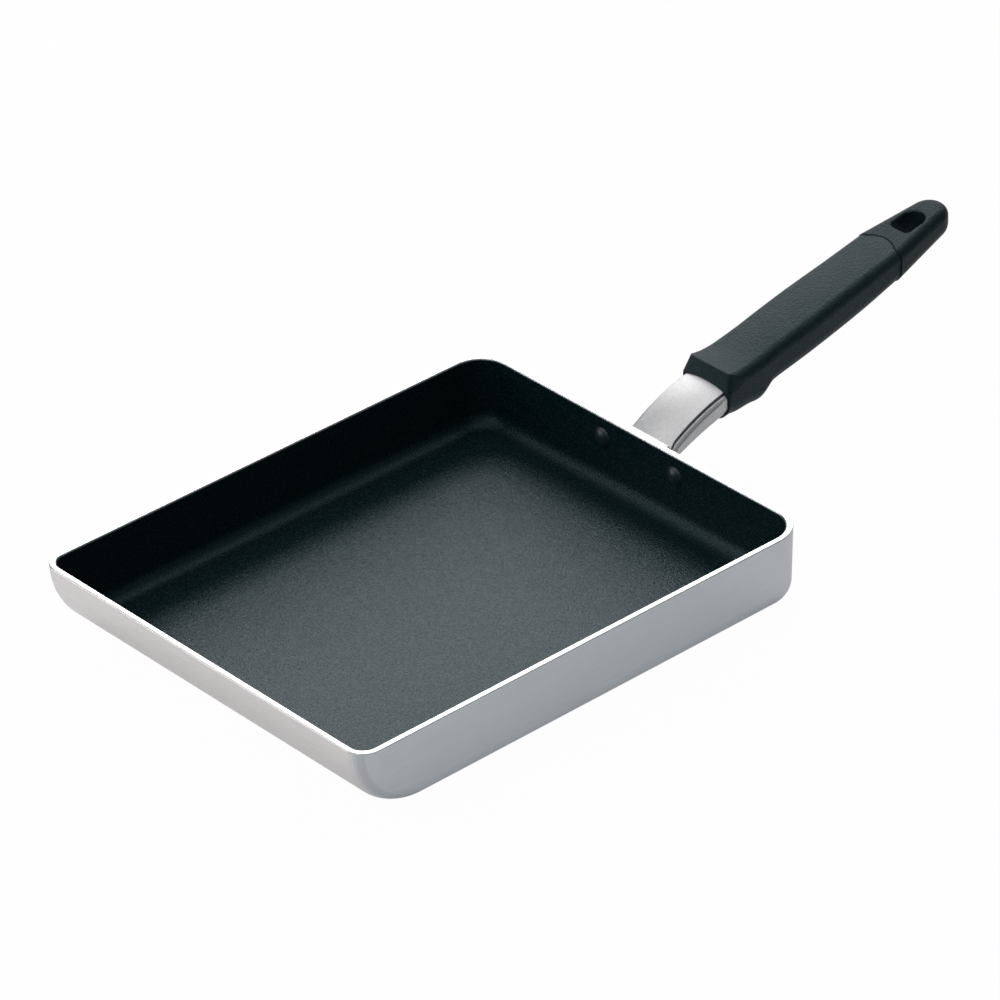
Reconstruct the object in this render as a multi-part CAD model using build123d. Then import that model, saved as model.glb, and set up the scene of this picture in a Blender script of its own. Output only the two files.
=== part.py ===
"""Rolled-omelette pan: a shallow rectangular cast-aluminium pan with a riveted bracket,
a moulded grip drawn on by one long bolt, and a tail cap with a hanging hole.

Millimetres. +Z is up and the pan stands on Z = 0. The origin lies under the middle of
the rim, and +Y runs from the pan's tip towards the handle.
"""
from build123d import *
from math import cos, radians, sin
import os

# Pan body: the rim's sizes are measured inside the walls, as such pans are sold
rim_inner_width = 180.0
rim_inner_length = 220.0
pan_height = 32.5
wall = 2.6
base_thickness = 2.8
side_draft = 1.3
tip_draft = 2.6
handle_corner = 15.5
tip_curve = 31.0
edge_radius = 8.9
rim_rounding = 0.5
coating_thickness = 0.25
coating_margin = 0.7

# Rivets: solid, with a low dome inside the pan and a formed head on the bracket
rivet_pitch = 41.0
rivet_drop = 9.4
rivet_diameter = 5.0
rivet_head_diameter = 9.0
rivet_head_height = 1.9
rivet_tail_diameter = 8.6
rivet_tail_height = 2.2

# Bracket: a cast foot on the handle wall and an arched neck that runs into the grip
foot_thickness = 3.6
foot_pad_radius = 6.4
foot_lip_drop = 1.6
foot_lip_half_width = 11.6
foot_blend = 1.0
foot_rounding = 1.0
neck_reach = 32.7
neck_rise = 10.3
neck_width = 24.8
neck_strip_width = 22.2
neck_strip_height = 2.1
neck_groove_width = 0.7
neck_groove_depth = 0.4
neck_crown = 1.5
neck_depth = 10.4
neck_root_drop = 3.6
neck_root_depth = 8.2
neck_flare = 3.0
neck_flare_length = 6.0
neck_corner = 3.0
neck_shoulder = 2.0
neck_wall = 3.0
neck_roof = 4.4
neck_seat_depth = 6.0
tenon_diameter = 10.0
tenon_length = 20.0
tenon_chamfer = 1.0

# Grip: its axis tilts up from the neck to the tail
grip_tilt = 12.2
grip_length = 96.6
grip_width = 26.6
grip_top_height = 8.3
grip_under_depth = 9.6
grip_top_corner = 4.2
grip_under_corner = 8.0
grip_crown = 0.7
grip_side_lean = 0.8
arch_width = 16.4
arch_rise = 2.9

# Nose of the grip: upright beside the neck, then leaning back over a height while its
# front grows narrower. Its flanks curve back to a plan that is a margin wider than the grip
front_half_width = 13.3
front_bulge = 0.5
nose_height = 10.0
nose_set_back = 3.4
nose_half_width = 10.2
nose_bulge = 0.8
nose_flank_length = 12.0
nose_corner = 2.0
nose_margin = 0.1

# Tail cap: it stands a little proud of the grip, and plugs into its end
cap_proud = 0.3
cap_length = 35.0
cap_end_radius = 8.3
cap_top_drop = 1.3
cap_under_rise = 1.2
hole_width = 10.0
hole_length = 13.2
hole_from_parting = 10.2
hole_corner = 2.2
hole_edge_rounding = 0.9
plug_length = 9.0

# Long bolt with its washers, in a counterbore at the tail end of the grip
bolt_diameter = 5.0
thread_engagement = 14.0
tapped_run_out = 2.0
bolt_head_diameter = 8.8
bolt_head_height = 3.4
head_edge_rounding = 0.8
recess_width = 1.2
recess_span = 5.0
recess_depth = 2.0
counterbore_diameter = 11.0
head_room = 1.0
washer_diameter = 10.4
washer_thickness = 1.0
spring_washer_diameter = 9.2
spring_washer_thickness = 1.3
spring_washer_gap = 0.9

# Fits
fit_clearance = 0.2
bolt_clearance = 0.6
overrun = 5.0

# Stations of the grip: place as a share of its length, then half width, height of the
# top over the axis, depth of the underside, top corner, lower corner, crown and lean
grip_station_shares = (
    (-0.020, 1.025, 1.50, 0.82, 0.7, 0.95, 0.4, 1.0),
    (0.030, 1.030, 1.34, 0.97, 0.8, 1.0, 0.6, 1.0),
    (0.070, 1.030, 1.18, 1.08, 0.9, 1.0, 0.8, 1.0),
    (0.120, 1.025, 1.06, 1.16, 1.0, 1.0, 1.0, 1.0),
    (0.165, 1.015, 1.00, 1.26, 1.0, 1.0, 1.0, 1.0),
    (0.205, 1.010, 0.98, 1.35, 1.0, 1.0, 1.0, 1.0),
    (0.230, 1.005, 0.98, 1.29, 1.0, 1.0, 1.0, 1.0),
    (0.250, 1.000, 0.98, 1.16, 1.0, 1.0, 1.0, 1.0),
    (0.270, 0.995, 0.985, 1.04, 1.0, 1.0, 1.0, 1.0),
    (0.300, 0.990, 0.99, 1.00, 1.0, 1.0, 1.0, 1.0),
    (0.380, 0.995, 1.00, 1.00, 1.0, 1.0, 1.0, 1.0),
    (0.500, 1.005, 1.00, 1.00, 1.0, 1.0, 1.0, 1.0),
    (0.620, 0.990, 1.00, 1.00, 1.0, 1.0, 1.0, 1.0),
    (0.740, 0.965, 0.98, 0.96, 1.0, 0.95, 0.9, 0.8),
    (0.860, 0.935, 0.955, 0.88, 0.95, 0.90, 0.6, 0.5),
    (1.000, 0.905, 0.93, 0.74, 0.90, 0.85, 0.15, 0.1),
    (1.060, 0.895, 0.93, 0.70, 0.90, 0.85, 0.10, 0.1),
)

rim_width = rim_inner_width + 2 * wall
rim_length = rim_inner_length + 2 * wall
wall_y = rim_length / 2
foot_y = wall_y + foot_thickness
front_y = wall_y + neck_reach
parting_y = front_y + grip_length
rivet_z = pan_height - rivet_drop
along = Vector(0, cos(radians(grip_tilt)), sin(radians(grip_tilt)))
across = Vector(0, along.Z, -along.Y)
neck_top = Vector(0, front_y, pan_height + neck_rise)
foot_middle = wall_y + foot_thickness / 2
neck_root = Vector(0, foot_middle, pan_height - neck_root_drop)
axis_start = neck_top + across * (neck_depth / 2)
parting_station = grip_station_shares[-2]

# Places along the bolt's axis, measured from the neck's section at the front of the grip
parting_place = (parting_y - axis_start.Y) / along.Y
tenon_end = neck_seat_depth + tenon_length
bolt_tip = tenon_end - thread_engagement
head_stack = bolt_head_height + spring_washer_thickness + washer_thickness
washer_seat = parting_place - plug_length - head_room - head_stack
spring_seat = washer_seat + washer_thickness
head_seat = spring_seat + spring_washer_thickness


def on_axis(place):
    """Plane across the bolt's axis at a place along it."""
    return Plane(origin=axis_start + along * place, x_dir=(1, 0, 0), z_dir=along)


def axis_rod(diameter, start, end):
    """Cylinder on the bolt's axis between two places."""
    return extrude(on_axis(start) * Circle(diameter / 2), end - start)


def axis_height(y):
    """Height of the grip's axis over the table at a place along the handle."""
    return axis_start.Z + (y - axis_start.Y) * along.Z / along.Y


def both_ways(face, reach):
    """A face drawn out by reach on both its sides."""
    return extrude(face, reach, both=True)


def upright(sketch):
    """A plan sketch drawn up and down through the whole height of the pan and handle."""
    return extrude(sketch, rim_length, both=True)


def outline(z, inset):
    """Square-cornered plan of the pan at a height, drawn in from the outer faces by inset."""
    fall = 1 - z / pan_height
    width = rim_width - 2 * side_draft * fall - 2 * inset
    tip_end = tip_draft * fall + inset - rim_length / 2
    handle_end = rim_length / 2 - inset
    return Pos(0, (tip_end + handle_end) / 2, z) * Rectangle(width, handle_end - tip_end)


def pan_form(inset, floor, top):
    """Solid with the pan's form, drawn in by inset, from a floor height to a top height.

    The tip wall sweeps up from the floor in a long curve. One smaller radius then runs
    down each tip corner, along the sides and round the handle wall.
    """
    high = 2 * pan_height
    form = loft([outline(floor, inset), outline(high, inset)], ruled=True)
    uprights = form.faces().sort_by(Axis.Y)[-1].edges().sort_by(Axis.X)
    form = fillet([uprights[0], uprights[-1]], handle_corner - inset)
    form = fillet(form.faces().sort_by(Axis.Z)[0].edges().sort_by(Axis.Y)[0], tip_curve - inset)
    floor_edges = form.faces().sort_by(Axis.Z)[0].edges().sort_by(Axis.Y)[1:]
    side_edges = [edge for face in form.faces().sort_by(Axis.Y)[:2] for edge in face.edges()]
    flanks = [edge for edge in side_edges if abs(edge.center().X) > abs(edge.center().Y) / 2]
    rising = [edge for edge in flanks if edge.center().Z < high and edge.length < rim_width / 2]
    form = fillet(floor_edges + rising, edge_radius - inset)
    return split(form, Plane.XY.offset(top), keep=Keep.BOTTOM)


def rivet_places():
    """Positions of the two rivets on the outer face of the handle wall."""
    return [Pos(side * rivet_pitch / 2, wall_y, rivet_z) for side in (-1, 1)]


def rivet_bores():
    """Holes through coating, wall and foot, one for each rivet."""
    bore = Rot(90, 0, 0) * Cylinder(rivet_diameter / 2, 2 * (wall + foot_thickness + overrun))
    return [place * bore for place in rivet_places()]


def make_pan_body():
    """Cast pan with drafted walls, a curved tip wall and a softly rounded rim."""
    body = pan_form(0, 0, pan_height)
    body -= pan_form(wall, base_thickness, pan_height + overrun)
    rim = body.faces().sort_by(Axis.Z)[-1]
    body = fillet(rim.edges(), rim_rounding)
    return body - rivet_bores()


def make_nonstick_coating():
    """Coating inside the pan, which stops just below the bare rim."""
    coating = pan_form(wall, base_thickness, pan_height - coating_margin)
    inside = wall + coating_thickness
    coating -= pan_form(inside, base_thickness + coating_thickness, pan_height + overrun)
    return coating - rivet_bores()


def make_rivets():
    """Two solid rivets, each turned about its own axis."""
    inside = -wall - coating_thickness
    shank = rivet_diameter / 2
    head = rivet_head_diameter / 2
    tail = rivet_tail_diameter / 2
    head_pole = (0, inside - rivet_head_height)
    tail_pole = (0, foot_thickness + rivet_tail_height)
    head_dome = TangentArc(head_pole, (head, inside), tangent=(1, 0))
    steps = Polyline((head, inside), (shank, inside), (shank, foot_thickness), (tail, foot_thickness))
    tail_dome = TangentArc(tail_pole, (tail, foot_thickness), tangent=(1, 0))
    rivet = revolve(make_face([head_dome, steps, tail_dome, Line(head_pole, tail_pole)]), Axis.Y)
    return Compound([place * rivet for place in rivet_places()])


def foot_form():
    """Foot of the bracket: two rivet pads joined by a web that rises to a lip behind the rim."""
    pads = [Pos(side * rivet_pitch / 2, 0) * Circle(foot_pad_radius) for side in (-1, 1)]
    web = Rectangle(rivet_pitch, 2 * foot_pad_radius)
    lip_height = rivet_drop - foot_lip_drop
    lip = Pos(0, lip_height / 2) * Rectangle(2 * foot_lip_half_width, lip_height)
    plate = web + pads + lip
    near_lip = [v for v in plate.vertices() if abs(v.X) < foot_lip_half_width + foot_blend and v.Y > 0]
    notches = sorted(near_lip, key=lambda v: v.Y)[:2]
    plate = fillet(notches, foot_blend)
    face = Plane(origin=(0, wall_y, rivet_z), x_dir=(-1, 0, 0), z_dir=(0, 1, 0)) * plate
    foot = extrude(face, foot_thickness)
    return fillet(foot.faces().sort_by(Axis.Y)[-1].edges(), foot_rounding)


def neck_profile(drop, grow):
    """Side view of the neck: its top lowered by drop, and its outline let out by grow."""
    top_front = neck_top + across * (drop - grow)
    top_root = neck_root + Vector(0, 0, grow - drop)
    under_front = neck_top + across * (neck_depth + grow)
    under_root = neck_root - Vector(0, 0, neck_root_depth + grow)
    top_end = top_front + along * neck_seat_depth
    under_end = under_front + along * neck_seat_depth
    edges = [
        Line(top_end, top_front),
        TangentArc(top_front, top_root, tangent=-along),
        Line(top_root, under_root),
        TangentArc(under_front, under_root, tangent=-along),
        Polyline(under_front, under_end, top_end),
    ]
    return make_face(edges)


def neck_plan(width):
    """Plan of the neck: a strip of a given width that flares out onto the foot."""
    half = width / 2
    far = front_y + neck_seat_depth + overrun
    bend = foot_middle + neck_flare_length
    root = half + neck_flare
    flares = [
        TangentArc((side * half, bend), (side * root, foot_middle), tangent=(0, -1)) for side in (-1, 1)
    ]
    ends = [
        Polyline((half, bend), (half, far), (-half, far), (-half, bend)),
        Line((-root, foot_middle), (root, foot_middle)),
    ]
    return make_face(flares + ends)


def neck_part(width, drop, grow):
    """Part of the neck with a given width, under a top that is lowered by drop."""
    return both_ways(neck_profile(drop, grow), neck_width * 2) & upright(neck_plan(width + 2 * grow))


def crowned_strip(grow):
    """Top strip of the neck, crowned from side to side."""
    half = neck_strip_width / 2
    radius = (half * half + neck_crown * neck_crown) / (2 * neck_crown)
    end = neck_top + along * neck_seat_depth
    section = Pos(0, -radius) * Circle(radius + grow) & Pos(0, neck_crown - neck_width / 2) * Rectangle(
        2 * neck_width, neck_width
    )
    path = Wire([Line(end, neck_top), TangentArc(neck_top, neck_root, tangent=-along)])
    crowned = sweep(Plane(origin=end, x_dir=(1, 0, 0), z_dir=-along) * section, path=path)
    return neck_part(neck_strip_width, -neck_crown, grow) & crowned


def flares_and_arcs(body):
    """Edges that run along the sides of the neck's body, each kind from low to high."""
    flares = body.edges().filter_by(GeomType.BSPLINE).sort_by(Axis.Z)
    circles = body.edges().filter_by(GeomType.CIRCLE).sort_by(Axis.Z)
    return flares, [edge for edge in circles if abs(edge.center().X) > neck_width / 4]


def neck_form(grow):
    """Neck let out by grow: a round-edged body under its crowned strip."""
    body = neck_part(neck_width, neck_strip_height, grow)
    flares, arcs = flares_and_arcs(body)
    body = fillet(flares[:2] + arcs[:2], neck_corner + grow)
    flares, arcs = flares_and_arcs(body)
    body = fillet(flares[-2:] + arcs[-2:], neck_shoulder + grow)
    return body + crowned_strip(grow)


def make_bracket():
    """Cast bracket: foot, arched neck with grooved shoulders, hollow underside and tapped tenon."""
    grooves = upright(neck_plan(neck_strip_width))
    grooves -= upright(neck_plan(neck_strip_width - 2 * neck_groove_width))
    grooves -= neck_part(neck_width * 2, neck_strip_height + neck_groove_depth, 0)
    bracket = foot_form() + (neck_form(0) - grooves)
    hollow = neck_part(neck_width - 2 * neck_wall, neck_roof, 0)
    reach = neck_reach - foot_thickness - 2 * neck_wall
    bracket -= hollow & upright(Pos(0, (foot_y + front_y) / 2) * Rectangle(neck_width, reach))
    tenon = axis_rod(tenon_diameter, 0, tenon_end)
    bracket += chamfer(tenon.edges().sort_by(Axis.Y)[-1], tenon_chamfer)
    bracket -= axis_rod(bolt_diameter, bolt_tip - tapped_run_out, tenon_end + overrun)
    return bracket - rivet_bores()


def grip_section(station):
    """One cross-section of the grip: a crowned top, leaning sides and a round underside."""
    place, half_share, top_share, under_share, top_corner, under_corner, crown, lean = station
    y = front_y + place * grip_length
    half = half_share * grip_width / 2
    top = axis_height(y) + top_share * grip_top_height
    under = axis_height(y) - under_share * grip_under_depth
    shoulder = top - crown * grip_crown
    foot = half - lean * grip_side_lean
    roof = ThreePointArc((-half, shoulder), (0, top), (half, shoulder))
    section = make_face([roof, Polyline((half, shoulder), (foot, under), (-foot, under), (-half, shoulder))])
    upper = section.vertices().group_by(Axis.Y)[-1]
    section = fillet(upper, top_corner * grip_top_corner)
    lower = section.vertices().group_by(Axis.Y)[0]
    section = fillet(lower, under_corner * grip_under_corner)
    return Plane(origin=(0, y, 0), x_dir=(1, 0, 0), z_dir=(0, -1, 0)) * section


def before_parting():
    """Everything on the grip's side of the parting line, which bulges towards the tail."""
    start = Pos(0, parting_y / 2) * Rectangle(2 * grip_width, parting_y)
    half = arch_width / 2
    arch = ThreePointArc((-half, parting_y), (0, parting_y + arch_rise), (half, parting_y))
    return upright(start + make_face([arch, Line((half, parting_y), (-half, parting_y))]))


def nose_plan(set_back, bulge, front_half):
    """Plan that bounds the grip's front: a bulging front edge between flanks that curve out."""
    half = grip_width / 2 * grip_station_shares[0][1] + nose_margin
    middle = front_y + set_back
    shoulder = middle + bulge
    flank = shoulder + nose_flank_length
    far = parting_y + cap_length
    front = ThreePointArc((-front_half, shoulder), (0, middle), (front_half, shoulder))
    flanks = [
        TangentArc((side * half, flank), (side * front_half, shoulder), tangent=(0, -1))
        for side in (-1, 1)
    ]
    sides = Polyline((half, flank), (half, far), (-half, far), (-half, flank))
    plan = make_face([front, *flanks, sides])
    return fillet(plan.vertices().group_by(Axis.Y)[0], nose_corner)


def nose_form():
    """Nose that bounds the grip's front: upright below the neck's top, and above it leaning
    back while it grows narrower."""
    low = Pos(0, 0, neck_top.Z - neck_crown) * nose_plan(0, front_bulge, front_half_width)
    high = Pos(0, 0, nose_height + neck_top.Z - neck_crown)
    high *= nose_plan(nose_set_back, nose_bulge, nose_half_width)
    return loft([low, high], ruled=True) + extrude(low, -grip_length) + extrude(high, grip_length)


def make_grip_body():
    """Moulded grip with a flared collar, a finger stop, a socket and a bore for the bolt."""
    grip = loft([grip_section(station) for station in grip_station_shares])
    grip &= before_parting() & nose_form()
    grip -= neck_form(fit_clearance)
    grip -= axis_rod(tenon_diameter + 2 * fit_clearance, 0, tenon_end + head_room)
    grip -= axis_rod(bolt_diameter + bolt_clearance, 0, parting_place)
    return grip - axis_rod(counterbore_diameter, washer_seat, parting_place + overrun)


def hanging_hole():
    """Plan of the hanging hole: square towards the grip and round towards the tail."""
    start = parting_y + hole_from_parting
    straight = hole_length - hole_width / 2
    square = Pos(0, start + straight / 2) * Rectangle(hole_width, straight)
    square = fillet(square.vertices().group_by(Axis.Y)[0], hole_corner)
    return upright(square + Pos(0, start + straight) * Circle(hole_width / 2))


def make_tail_cap():
    """Tail cap: tapered round-ended form with a hanging hole and a plug for the counterbore."""
    _, half_share, top_share, under_share, top_corner, under_corner, _, _ = parting_station
    half = half_share * grip_width / 2 + cap_proud
    tail = parting_y + cap_length
    start = parting_y - overrun
    taper = (half - cap_end_radius) / (cap_length - cap_end_radius)
    start_half = half + taper * overrun
    root = Line((-start_half, start), (start_half, start))
    plan = make_hull([root, CenterArc((0, tail - cap_end_radius), cap_end_radius, 0, 360)])
    above = top_share * grip_top_height + cap_proud
    below = under_share * grip_under_depth + cap_proud
    side = Polyline(
        (start, axis_height(start) + above),
        (tail, axis_height(tail) + above - cap_top_drop),
        (tail, axis_height(tail) - below + cap_under_rise),
        (start, axis_height(start) - below),
        close=True,
    )
    cap = upright(plan) & both_ways(Plane.YZ * make_face(side), grip_width)
    roof = cap.faces().sort_by(Axis.Z)[-1]
    cap = fillet(roof.edges().sort_by(Axis.Y)[1:], top_corner * grip_top_corner)
    floor = cap.faces().sort_by(Axis.Z)[0]
    cap = fillet(floor.edges().sort_by(Axis.Y)[1:], under_corner * grip_under_corner)
    cap -= before_parting()
    cap -= hanging_hole()
    start = parting_y + hole_from_parting
    near = [edge for edge in cap.edges() if abs(edge.center().X) <= hole_width / 2]
    mouths = [edge for edge in near if start - overrun < edge.center().Y < start + hole_length]
    cap = fillet([edge for edge in mouths if abs(edge.tangent_at().Z) < along.Y / 2], hole_edge_rounding)
    plug_diameter = counterbore_diameter - 2 * fit_clearance
    return cap + axis_rod(plug_diameter, parting_place - plug_length, parting_place + overrun)


def make_handle_bolt():
    """Long bolt with a rounded head that has a cross recess."""
    head = axis_rod(bolt_head_diameter, head_seat, head_seat + bolt_head_height)
    head = fillet(head.edges().sort_by(Axis.Y)[-1], head_edge_rounding)
    recess_start = on_axis(head_seat + bolt_head_height - recess_depth)
    slots = [Rectangle(recess_span, recess_width), Rectangle(recess_width, recess_span)]
    head -= [extrude(recess_start * slot, recess_depth + overrun) for slot in slots]
    return head + axis_rod(bolt_diameter, bolt_tip, head_seat)


def make_spring_washer():
    """Split spring washer under the bolt's head."""
    washer = axis_rod(spring_washer_diameter, spring_seat, head_seat)
    washer -= axis_rod(bolt_diameter + bolt_clearance, spring_seat - overrun, head_seat + overrun)
    split = Pos(0, spring_washer_diameter / 2, 0) * Rectangle(spring_washer_gap, spring_washer_diameter)
    return washer - extrude(on_axis(spring_seat - overrun) * split, 2 * overrun + spring_washer_thickness)


def make_plain_washer():
    """Plain washer on the floor of the counterbore."""
    washer = axis_rod(washer_diameter, washer_seat, spring_seat)
    return washer - axis_rod(bolt_diameter + bolt_clearance, washer_seat - overrun, spring_seat + overrun)


if __name__ == "__main__":
    os.makedirs("parts", exist_ok=True)
    nodes = {
        "pan_body": make_pan_body,
        "nonstick_coating": make_nonstick_coating,
        "rivets": make_rivets,
        "handle_bracket": make_bracket,
        "grip_body": make_grip_body,
        "tail_cap": make_tail_cap,
        "handle_bolt": make_handle_bolt,
        "spring_washer": make_spring_washer,
        "plain_washer": make_plain_washer,
    }
    for name, make in nodes.items():
        shape = make()
        export_step(shape, f"parts/{name}.step")
        print(name, "solids", len(shape.solids()), "valid", shape.is_valid)
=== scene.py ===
"""Looks of a rolled omelette pan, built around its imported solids.

Metres. The pan stands on Z = 0, and +Y runs from its tip to its handle. Every finish is
procedural and reads Object coordinates.
"""
import math

import bpy
from mathutils import Matrix, Vector

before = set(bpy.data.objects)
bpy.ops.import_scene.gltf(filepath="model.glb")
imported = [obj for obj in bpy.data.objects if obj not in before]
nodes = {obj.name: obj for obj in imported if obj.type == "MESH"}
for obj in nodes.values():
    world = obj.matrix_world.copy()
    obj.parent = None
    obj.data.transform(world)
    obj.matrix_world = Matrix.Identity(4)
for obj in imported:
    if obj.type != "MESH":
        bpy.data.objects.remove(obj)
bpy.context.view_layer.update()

# Camera, fitted to the rim, the rivets and the grip in the photograph
CAMERA_TARGET = Vector((-0.00298, 0.04069, 0.0325))
CAMERA_DISTANCE = 2.4195
CAMERA_AZIMUTH = math.radians(48.883)
CAMERA_ELEVATION = math.radians(32.031)
CAMERA_ROLL = math.radians(-1.763)
CAMERA_LENS = 228.33
CAMERA_SENSOR = 36.0
CAMERA_CLIP = (0.1, 50.0)

# Values that several finishes share
FADE_IN = (0.0, 1.0)
FADE_OUT = (1.0, 0.0)
NOISE_MIDDLE = (0.3, 0.7)
NOISE_CORE = (0.35, 0.65)
PLASTIC_IOR = 1.5


class NodeTree:
    """An emptied material with short calls that add nodes and join them."""

    def __init__(self, name):
        self.material = bpy.data.materials.new(name)
        self.material.use_nodes = True
        self.tree = self.material.node_tree
        self.tree.nodes.clear()
        self.out = self.add("ShaderNodeOutputMaterial")

    def add(self, kind, **settings):
        node = self.tree.nodes.new(kind)
        for key, value in settings.items():
            setattr(node, key, value)
        return node

    def join(self, start, end):
        self.tree.links.new(start, end)

    def maths(self, operation, *values):
        """Result of one sum, each value a link or a number."""
        node = self.add("ShaderNodeMath", operation=operation)
        for socket, value in zip(node.inputs, values):
            if isinstance(value, (int, float)):
                socket.default_value = value
            else:
                self.join(value, socket)
        return node.outputs[0]


class Finish(NodeTree):
    """A procedural finish for one kind of surface on the pan."""

    def __init__(self, name):
        super().__init__(name)
        self.shader = self.add("ShaderNodeBsdfPrincipled")
        self.join(self.shader.outputs["BSDF"], self.out.inputs["Surface"])
        coordinates = self.add("ShaderNodeTexCoord")
        self.place = coordinates.outputs["Object"]
        self.normal = coordinates.outputs["Normal"]

    def set(self, **values):
        """Gives sockets of the shader a constant."""
        for key, value in values.items():
            self.shader.inputs[key.replace("_", " ")].default_value = value

    def give(self, **links):
        """Gives sockets of the shader a link, and returns the finished material."""
        for key, link in links.items():
            self.join(link, self.shader.inputs[key.replace("_", " ")])
        return self.material

    def noise(self, scale, detail, roughness, stretch=None):
        place = self.place
        if stretch:
            mapping = self.add("ShaderNodeMapping")
            mapping.inputs["Scale"].default_value = stretch
            self.join(place, mapping.inputs["Vector"])
            place = mapping.outputs["Vector"]
        node = self.add("ShaderNodeTexNoise")
        node.inputs["Scale"].default_value = scale
        node.inputs["Detail"].default_value = detail
        node.inputs["Roughness"].default_value = roughness
        self.join(place, node.inputs["Vector"])
        return node.outputs["Fac"]

    def ramp(self, value, span, result=FADE_IN):
        """Number that goes through result as value goes through span, and stops at its ends."""
        node = self.add("ShaderNodeMapRange")
        for end, number in zip(("From Min", "From Max", "To Min", "To Max"), (*span, *result)):
            node.inputs[end].default_value = number
        self.join(value, node.inputs["Value"])
        return node.outputs["Result"]

    def band(self, value, span, edge):
        """One inside span and nought outside it, with soft edges."""
        low, high = span
        rise = self.ramp(value, (low - edge, low))
        fall = self.ramp(value, (high, high + edge), FADE_OUT)
        return self.maths("MULTIPLY", rise, fall)

    def part_of(self, vector, axis):
        """One of a vector's three numbers."""
        node = self.add("ShaderNodeSeparateXYZ")
        self.join(vector, node.inputs["Vector"])
        return node.outputs[axis]

    def along(self, axis):
        """Place along an axis, in metres."""
        return self.part_of(self.place, axis)

    def facing(self, axis):
        """How far the surface faces along an axis, from minus one to one."""
        return self.part_of(self.normal, axis)

    def square(self, value):
        return self.maths("MULTIPLY", value, value)

    def mix(self, factor, first, second):
        """Colour between two colours, each a link or a plain colour."""
        node = self.add("ShaderNodeMix", data_type="RGBA")
        colours = [socket for socket in node.inputs if socket.type == "RGBA"]
        self.join(factor, node.inputs["Factor"])
        for socket, colour in zip(colours, (first, second)):
            if isinstance(colour, tuple):
                socket.default_value = (*colour, 1.0)
            else:
                self.join(colour, socket)
        return next(socket for socket in node.outputs if socket.type == "RGBA")

    def round_edges(self, radius):
        """Normal that softens sharp edges, as a mould or a blasting does."""
        node = self.add("ShaderNodeBevel", samples=6)
        node.inputs["Radius"].default_value = radius
        return node.outputs["Normal"]

    def bump(self, height, distance, strength, under=None):
        """Normal roughened by a height, over another normal where one is given."""
        node = self.add("ShaderNodeBump")
        node.inputs["Distance"].default_value = distance
        node.inputs["Strength"].default_value = strength
        self.join(height, node.inputs["Height"])
        if under:
            self.join(under, node.inputs["Normal"])
        return node.outputs["Normal"]


# Pan casting
BRUSH_SPREAD = 0.7
BRUSH_DIRECTION = (0.02, 0.03, 1.0)
RIM_LINE = (0.0315, 0.0317)
RIM_FACING = (0.45, 0.65)
RIM_TONE = (0.84, 0.84, 0.84)
TIP_RIM = (-0.1117, -0.1108)
TIP_RIM_PAINTED_SHADE = (0.55, 0.55, 0.55)
TIP_SIDE = (0.0873, 0.0867)
TIP_BACK = (-0.075, -0.085)
TIP_PAINTED_LIGHT = (0.90, 0.86, 0.86)
CORNER_SPAN = (0.0884, 0.0902)
CORNER_EDGE = 0.0005
CORNER_SHARE = (0.0, 0.6)
CORNER_PAINTED_SHADE = (0.55, 0.575, 0.60)
SATIN_DULL = (0.690, 0.728, 0.768)
SATIN_CLEAR = (0.735, 0.775, 0.816)
BRUSHED_SHARE = (0.0, 0.35)
BRUSHED_TONE = (0.66, 0.68, 0.705)
SATIN_ROUGHNESS = (0.34, 0.42)


def brush_upright(finish):
    """Spreads reflections up and down, as brushing along the walls does."""
    node = finish.add("ShaderNodeCombineXYZ")
    for socket, value in zip(node.inputs, BRUSH_DIRECTION):
        socket.default_value = value
    finish.join(node.outputs["Vector"], finish.shader.inputs["Tangent"])


def satin_aluminium():
    """Pan casting: satin walls, brushed along their length, under a bright turned rim, with
    painted light on the tip wall, painted shade down its corners and painted shade on the rim's
    outer edge along the tip.
    """
    finish = Finish("satin_aluminium")
    finish.set(Metallic=1.0, Anisotropic=BRUSH_SPREAD)
    brush_upright(finish)
    across = finish.maths("ABSOLUTE", finish.along("X"))
    length = finish.along("Y")

    cloud = finish.noise(scale=14.0, detail=3.0, roughness=0.55, stretch=(1.0, 1.0, 2.5))
    lines = finish.noise(scale=60.0, detail=4.0, roughness=0.6, stretch=(1.0, 1.0, 40.0))
    scratches = finish.noise(scale=90.0, detail=4.0, roughness=0.65, stretch=(1.0, 1.0, 30.0))
    wall = finish.mix(finish.ramp(cloud, NOISE_MIDDLE), SATIN_DULL, SATIN_CLEAR)

    # Painted light: the tip wall is painted paler and warmer than the side walls.
    tip = finish.maths("MULTIPLY", finish.ramp(across, TIP_SIDE), finish.ramp(length, TIP_BACK))
    wall = finish.mix(tip, wall, TIP_PAINTED_LIGHT)
    # Painted shade: a darker band down each corner between the tip wall and the side walls.
    corner = finish.maths(
        "MULTIPLY",
        finish.band(across, CORNER_SPAN, CORNER_EDGE),
        finish.ramp(length, TIP_BACK, CORNER_SHARE),
    )
    wall = finish.mix(corner, wall, CORNER_PAINTED_SHADE)
    wall = finish.mix(finish.ramp(lines, NOISE_CORE, BRUSHED_SHARE), wall, BRUSHED_TONE)

    rim = finish.maths(
        "MULTIPLY",
        finish.ramp(finish.along("Z"), RIM_LINE),
        finish.ramp(finish.facing("Z"), RIM_FACING),
    )
    # The turned rim, with painted shade on its outer edge along the tip.
    turned = finish.mix(finish.ramp(length, TIP_RIM), TIP_RIM_PAINTED_SHADE, RIM_TONE)
    return finish.give(
        Base_Color=finish.mix(rim, wall, turned),
        Roughness=finish.ramp(lines, NOISE_MIDDLE, SATIN_ROUGHNESS),
        Normal=finish.bump(scratches, distance=0.00006, strength=0.5),
    )


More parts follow.
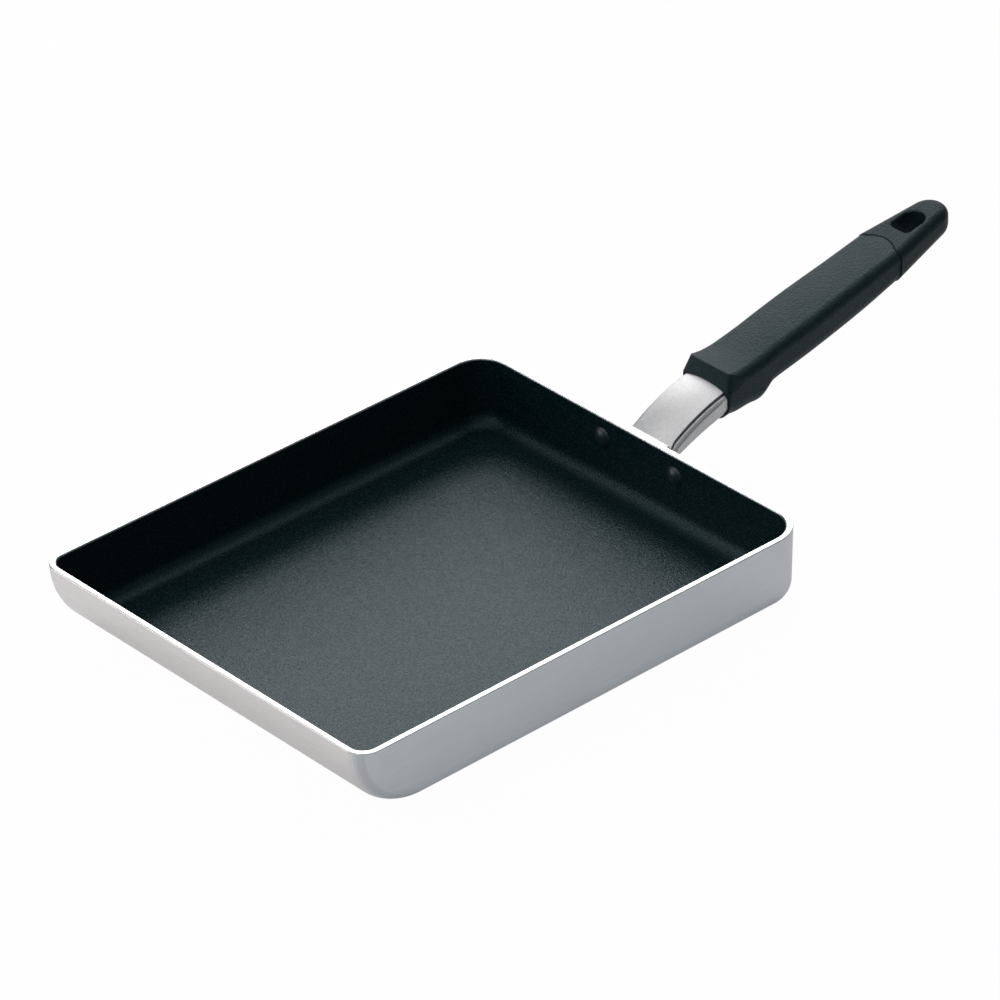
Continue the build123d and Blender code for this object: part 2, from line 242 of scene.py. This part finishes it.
# Non-stick lining
LINING_GLOSS = 0.33
LINING_TINT = (0.55, 0.80, 0.95, 1.0)
LINING_DARK = (0.0010, 0.0100, 0.0112)
LINING_SPECK = (0.0220, 0.0340, 0.0380)
SPECK_SPAN = (0.52, 0.74)
LINING_ROUGHNESS = (0.21, 0.32)


def nonstick_lining():
    """Dark lining with a fine speckle."""
    finish = Finish("nonstick_lining")
    finish.set(
        Metallic=0.0, IOR=PLASTIC_IOR, Specular_IOR_Level=LINING_GLOSS, Specular_Tint=LINING_TINT
    )
    speck = finish.noise(scale=1500.0, detail=2.0, roughness=0.7)
    grain = finish.noise(scale=1500.0, detail=2.0, roughness=0.6)
    return finish.give(
        Base_Color=finish.mix(finish.ramp(speck, SPECK_SPAN), LINING_DARK, LINING_SPECK),
        Roughness=finish.ramp(grain, NOISE_MIDDLE, LINING_ROUGHNESS),
        Normal=finish.bump(grain, distance=0.0004, strength=0.6),
    )


# Rivets
RIVET_COATING_END = (0.1100, 0.1105)
RIVET_COATED = (0.006, 0.017, 0.019)
RIVET_BARE = (0.72, 0.72, 0.73)
RIVET_ROUGHNESS = (0.30, 0.40)


def rivet_metal():
    """Rivets: coated heads inside the pan, bare tails on the bracket."""
    finish = Finish("rivet_metal")
    outside = finish.ramp(finish.along("Y"), RIVET_COATING_END)
    grain = finish.noise(scale=2200.0, detail=2.0, roughness=0.6)
    return finish.give(
        Base_Color=finish.mix(outside, RIVET_COATED, RIVET_BARE),
        Metallic=outside,
        Roughness=finish.ramp(grain, NOISE_MIDDLE, RIVET_ROUGHNESS),
        Normal=finish.bump(grain, distance=0.00003, strength=0.3),
    )


# Neck: the grooves and the painted shade line outside them are measured from its middle, less what
# the flare adds
NECK_BEND = 0.1204
FLARE_RADIUS = 0.0075
NECK_START = (0.1163, 0.1167)
NECK_CHORD = (-0.0281, -0.0277)
NECK_CHORD_SLOPE = 0.464
UPWARD = (-0.02, 0.05)
NOT_DOWNWARD = (-0.3, -0.2)
GROOVE_SPAN = (0.01050, 0.01100)
GROOVE_EDGE = 0.00022
GROOVE_PAINTED_SHADE = (0.13, 0.145, 0.15)
OUTER_LINE_SPAN = (0.01225, 0.01238)
OUTER_LINE_EDGE = 0.00003
OUTER_LINE_SHARE = 0.7
OUTER_LINE_PAINTED_SHADE = (0.18, 0.19, 0.20)
BLASTED_DULL = (0.64, 0.64, 0.65)
BLASTED_CLEAR = (0.74, 0.74, 0.75)
PIT_SPAN = (0.35, 0.7)
PIT_SHARE = (0.0, 0.5)
PIT_TONE = (0.52, 0.52, 0.53)
BLASTED_ROUGHNESS = (0.46, 0.56)
BLASTED_EDGE = 0.0003


def past_flare(finish):
    """Distance from the neck's middle, less what the flare into the foot adds to it."""
    side = finish.maths("ABSOLUTE", finish.along("X"))
    short = finish.maths("SUBTRACT", NECK_BEND, finish.along("Y"))
    into_flare = finish.maths("MAXIMUM", short, 0.0)
    leg = finish.maths("SUBTRACT", FLARE_RADIUS ** 2, finish.square(into_flare))
    leg = finish.maths("SQRT", finish.maths("MAXIMUM", leg, 0.0))
    return finish.maths("SUBTRACT", side, finish.maths("SUBTRACT", FLARE_RADIUS, leg))


def on_neck(finish):
    """One above the neck's chord and past the foot plate, nought elsewhere."""
    length = finish.along("Y")
    height = finish.maths("MULTIPLY_ADD", length, -NECK_CHORD_SLOPE, finish.along("Z"))
    return finish.maths(
        "MULTIPLY", finish.ramp(height, NECK_CHORD), finish.ramp(length, NECK_START)
    )


def blasted_aluminium():
    """Bead-blasted neck and foot, with painted shade in the grooves beside the crowned strip and a
    thin painted shade line outside them.
    """
    finish = Finish("blasted_aluminium")
    finish.set(Metallic=1.0)
    out = past_flare(finish)
    neck = on_neck(finish)
    sideways = finish.maths("MULTIPLY", neck, finish.ramp(finish.facing("Z"), NOT_DOWNWARD))
    upward = finish.maths("MULTIPLY", neck, finish.ramp(finish.facing("Z"), UPWARD))
    # Painted shade in the grooves beside the crowned strip.
    groove = finish.maths("MULTIPLY", finish.band(out, GROOVE_SPAN, GROOVE_EDGE), sideways)
    # Painted shade: a thin dark line outside each groove, on faces that look up.
    outer_shade_line = finish.maths("MULTIPLY", finish.band(out, OUTER_LINE_SPAN, OUTER_LINE_EDGE), upward)
    outer_shade_line = finish.maths("MULTIPLY", outer_shade_line, OUTER_LINE_SHARE)

    cloud = finish.noise(scale=40.0, detail=2.0, roughness=0.5)
    pits = finish.noise(scale=900.0, detail=2.0, roughness=0.6)
    grain = finish.noise(scale=2600.0, detail=2.0, roughness=0.6)
    colour = finish.mix(finish.ramp(cloud, NOISE_MIDDLE), BLASTED_DULL, BLASTED_CLEAR)
    colour = finish.mix(finish.ramp(pits, PIT_SPAN, PIT_SHARE), colour, PIT_TONE)
    colour = finish.mix(outer_shade_line, colour, OUTER_LINE_PAINTED_SHADE)
    colour = finish.mix(groove, colour, GROOVE_PAINTED_SHADE)
    rounded = finish.round_edges(BLASTED_EDGE)
    return finish.give(
        Base_Color=colour,
        Roughness=finish.ramp(grain, NOISE_MIDDLE, BLASTED_ROUGHNESS),
        Normal=finish.bump(pits, distance=0.0001, strength=0.35, under=rounded),
    )


# Grip and tail cap
PLASTIC_TINT = (0.58, 0.88, 1.0, 1.0)
PLASTIC_DARK = (0.0020, 0.0085, 0.0100)
PLASTIC_LIGHT = (0.0085, 0.0180, 0.0205)
MOTTLE_SHARE = 0.6
CLOUD_SHARE = (0.0, 0.4)
PLASTIC_ROUGHNESS = (0.38, 0.46)
CLOUD_ROUGHNESS = (0.0, 0.05)
PLASTIC_EDGE = 0.0007
SEAM_PLACE = 0.2419
SEAM_HALF_WIDTH = 0.0082
SEAM_RADIUS = 0.01304
SEAM_CENTRE = 0.23176
SEAM_GAP = (0.00025, 0.00045)
SEAM_FACING = (0.2, 0.6)
SEAM_PAINTED_SHADE = (0.0004, 0.0010, 0.0012)
SEAM_ROUGHNESS = 0.95
LIP_FORWARD = (-0.30, -0.42)
LIP_UPWARD = (0.50, 0.86)
LIP_FADE = 0.06
LIP_PAINTED_HIGHLIGHT = (0.040, 0.055, 0.058)
GRIP_GLOSS = 0.27
CAP_GLOSS = 0.21
CAP_SHADE = 0.85


def seam_distance(finish):
    """Distance from the arched seam, above nought on the grip and below it on the cap."""
    across = finish.along("X")
    length = finish.along("Y")
    ahead = finish.maths("MAXIMUM", finish.maths("SUBTRACT", length, SEAM_CENTRE), 0.0)
    reach = finish.maths("ADD", finish.square(across), finish.square(ahead))
    arched = finish.maths("SUBTRACT", SEAM_RADIUS, finish.maths("SQRT", reach))
    straight = finish.maths("SUBTRACT", SEAM_PLACE, length)
    under_arch = finish.maths("LESS_THAN", finish.maths("ABSOLUTE", across), SEAM_HALF_WIDTH)
    beside_arch = finish.maths("SUBTRACT", 1.0, under_arch)
    straight = finish.maths("MULTIPLY", beside_arch, straight)
    return finish.maths("MULTIPLY_ADD", under_arch, arched, straight)


def lip_painted_highlight(finish, rounded):
    """One on the rounded lip between the grip's top and its nose, where a highlight is painted."""
    forward = finish.ramp(finish.part_of(rounded, "Y"), LIP_FORWARD)
    upward = finish.band(finish.part_of(rounded, "Z"), LIP_UPWARD, LIP_FADE)
    return finish.maths("MULTIPLY", forward, upward)


def moulded_plastic(name, gloss, shade=1.0):
    """Charcoal moulded plastic with a fine spark-eroded grain, painted shade in the seam and a
    painted highlight on the nose's lip.
    """
    finish = Finish(name)
    finish.set(
        Metallic=0.0, IOR=PLASTIC_IOR, Specular_IOR_Level=gloss, Specular_Tint=PLASTIC_TINT
    )
    cloud = finish.noise(scale=110.0, detail=3.0, roughness=0.65)
    mottle = finish.noise(scale=520.0, detail=3.0, roughness=0.7)
    grain = finish.noise(scale=1000.0, detail=3.0, roughness=0.65)
    clouded = finish.ramp(cloud, NOISE_MIDDLE, CLOUD_SHARE)
    blotches = finish.maths("MULTIPLY_ADD", finish.ramp(mottle, NOISE_CORE), MOTTLE_SHARE, clouded)
    dark, light = (tuple(shade * part for part in tone) for tone in (PLASTIC_DARK, PLASTIC_LIGHT))
    colour = finish.mix(blotches, dark, light)

    # Painted shade: a dark line in the seam between grip and cap, on faces that look up.
    seam = finish.ramp(finish.maths("ABSOLUTE", seam_distance(finish)), SEAM_GAP, FADE_OUT)
    seam = finish.maths("MULTIPLY", seam, finish.ramp(finish.facing("Z"), SEAM_FACING))
    colour = finish.mix(seam, colour, SEAM_PAINTED_SHADE)
    rounded = finish.round_edges(PLASTIC_EDGE)
    # Painted highlight: a lighter line along the lip between the grip's top and its nose.
    colour = finish.mix(lip_painted_highlight(finish, rounded), colour, LIP_PAINTED_HIGHLIGHT)

    rough = finish.ramp(grain, NOISE_MIDDLE, PLASTIC_ROUGHNESS)
    rough = finish.maths("ADD", rough, finish.ramp(cloud, NOISE_MIDDLE, CLOUD_ROUGHNESS))
    return finish.give(
        Base_Color=colour,
        Roughness=finish.maths("MAXIMUM", rough, finish.maths("MULTIPLY", seam, SEAM_ROUGHNESS)),
        Normal=finish.bump(grain, distance=0.00045, strength=0.7, under=rounded),
    )


# Bolt and washers
ZINC_DULL = (0.55, 0.56, 0.57)
ZINC_CLEAR = (0.66, 0.66, 0.66)
ZINC_ROUGHNESS = (0.3, 0.42)


def zinc_steel():
    """Zinc-plated bolt and washers inside the grip."""
    finish = Finish("zinc_steel")
    finish.set(Metallic=1.0)
    grain = finish.noise(scale=700.0, detail=3.0, roughness=0.6, stretch=(1.0, 0.15, 1.0))
    return finish.give(
        Base_Color=finish.mix(finish.ramp(grain, NOISE_MIDDLE), ZINC_DULL, ZINC_CLEAR),
        Roughness=finish.ramp(grain, NOISE_MIDDLE, ZINC_ROUGHNESS),
    )


def dress(name, material):
    """Gives one CAD node its finish in place of the plain one it comes with."""
    piece = nodes[name]
    piece.data.materials.clear()
    piece.data.materials.append(material)


dress("pan_body", satin_aluminium())
dress("nonstick_coating", nonstick_lining())
dress("rivets", rivet_metal())
dress("handle_bracket", blasted_aluminium())
dress("grip_body", moulded_plastic("grip_plastic", GRIP_GLOSS))
dress("tail_cap", moulded_plastic("cap_plastic", CAP_GLOSS, CAP_SHADE))
steel = zinc_steel()
for name in ("handle_bolt", "spring_washer", "plain_washer"):
    dress(name, steel)

# Floor
FLOOR_WIDTH = 12.0
FLOOR_TONE = (0.7, 0.7, 0.7, 1.0)
FLOOR_SEEN_BY_CAMERA = 0.98
FLOOR_SEEN_IN_GLOSS = 0.22
WHITE = (1.0, 1.0, 1.0, 1.0)


def pale_floor():
    """Matte floor that keeps the pan's shadow, under a glow that makes the background white."""
    tree = NodeTree("pale_floor")
    matte = tree.add("ShaderNodeBsdfDiffuse")
    matte.inputs["Color"].default_value = FLOOR_TONE
    glow = tree.add("ShaderNodeEmission")
    glow.inputs["Color"].default_value = WHITE
    glow.inputs["Strength"].default_value = 1.0
    rays = tree.add("ShaderNodeLightPath").outputs
    direct = tree.maths("MULTIPLY", rays["Is Camera Ray"], FLOOR_SEEN_BY_CAMERA)
    mirrored = tree.maths("ADD", rays["Is Glossy Ray"], rays["Is Transmission Ray"])
    seen = tree.maths("MULTIPLY_ADD", mirrored, FLOOR_SEEN_IN_GLOSS, direct)
    blend = tree.add("ShaderNodeMixShader")
    tree.join(seen, blend.inputs["Fac"])
    tree.join(matte.outputs["BSDF"], blend.inputs[1])
    tree.join(glow.outputs["Emission"], blend.inputs[2])
    tree.join(blend.outputs["Shader"], tree.out.inputs["Surface"])
    return tree.material


bpy.ops.object.select_all(action="DESELECT")
bpy.ops.mesh.primitive_plane_add(size=FLOOR_WIDTH, location=(0.0, 0.0, 0.0))
floor = bpy.context.object
floor.name = "floor"
floor.data.materials.append(pale_floor())

# World and lamps
SKY_TONE = (0.92, 0.97, 1.0, 1.0)
SKY_STRENGTH = 0.20
NEAR_WHITE = (1.0, 0.99, 0.98)
WARM_WHITE = (1.0, 0.985, 0.97)
world = bpy.data.worlds.new("studio")
bpy.context.scene.world = world
world.use_nodes = True
background = world.node_tree.nodes["Background"]
background.inputs["Color"].default_value = SKY_TONE
background.inputs["Strength"].default_value = SKY_STRENGTH


def softbox(name, place, aim, size, power, colour):
    """Rectangular area lamp that faces a point."""
    lamp = bpy.data.lights.new(name, "AREA")
    lamp.shape = "RECTANGLE"
    lamp.size, lamp.size_y = size
    lamp.energy = power
    lamp.color = colour
    holder = bpy.data.objects.new(name, lamp)
    bpy.context.scene.collection.objects.link(holder)
    holder.location = place
    holder.rotation_euler = (Vector(aim) - Vector(place)).to_track_quat("-Z", "Y").to_euler()


# Each row: name, place, aim, size, power in watts, colour
SOFTBOXES = (
    ("key", (-1.25, 1.3, 0.88), (0.0, 0.05, 0.0), (2.3, 1.05), 15.5, NEAR_WHITE),
    ("accent", (-1.3, 0.95, 1.45), (0.0, 0.2, 0.05), (0.6, 0.6), 6.0, NEAR_WHITE),
    ("top", (-0.05, 0.4, 2.0), (0.0, 0.1, 0.0), (1.6, 1.5), 9.5, NEAR_WHITE),
    ("front", (-0.8, -1.1, 1.5), (0.0, -0.1, 0.0), (1.2, 1.1), 7.5, WARM_WHITE),
    ("low", (-1.2, -1.45, 0.4), (0.0, 0.1, 0.05), (1.1, 0.5), 5.5, WARM_WHITE),
    ("fill", (0.6, -1.6, 1.5), (0.0, 0.05, 0.0), (0.9, 0.7), 5.0, NEAR_WHITE),
)
for row in SOFTBOXES:
    softbox(*row)

# Camera
back = Vector((
    math.sin(CAMERA_AZIMUTH) * math.cos(CAMERA_ELEVATION),
    -math.cos(CAMERA_AZIMUTH) * math.cos(CAMERA_ELEVATION),
    math.sin(CAMERA_ELEVATION),
))
level = Vector((math.cos(CAMERA_AZIMUTH), math.sin(CAMERA_AZIMUTH), 0.0))
rise = back.cross(level)
right = math.cos(CAMERA_ROLL) * level + math.sin(CAMERA_ROLL) * rise
up = math.cos(CAMERA_ROLL) * rise - math.sin(CAMERA_ROLL) * level
turn = Matrix((right, up, back)).transposed().to_4x4()
camera = bpy.data.objects.new("camera", bpy.data.cameras.new("camera"))
bpy.context.scene.collection.objects.link(camera)
camera.matrix_world = Matrix.Translation(CAMERA_TARGET + back * CAMERA_DISTANCE) @ turn
camera.data.sensor_width = CAMERA_SENSOR
camera.data.lens = CAMERA_LENS
camera.data.clip_start, camera.data.clip_end = CAMERA_CLIP
bpy.context.scene.camera = camera

bpy.context.scene.view_settings.view_transform = "Standard"
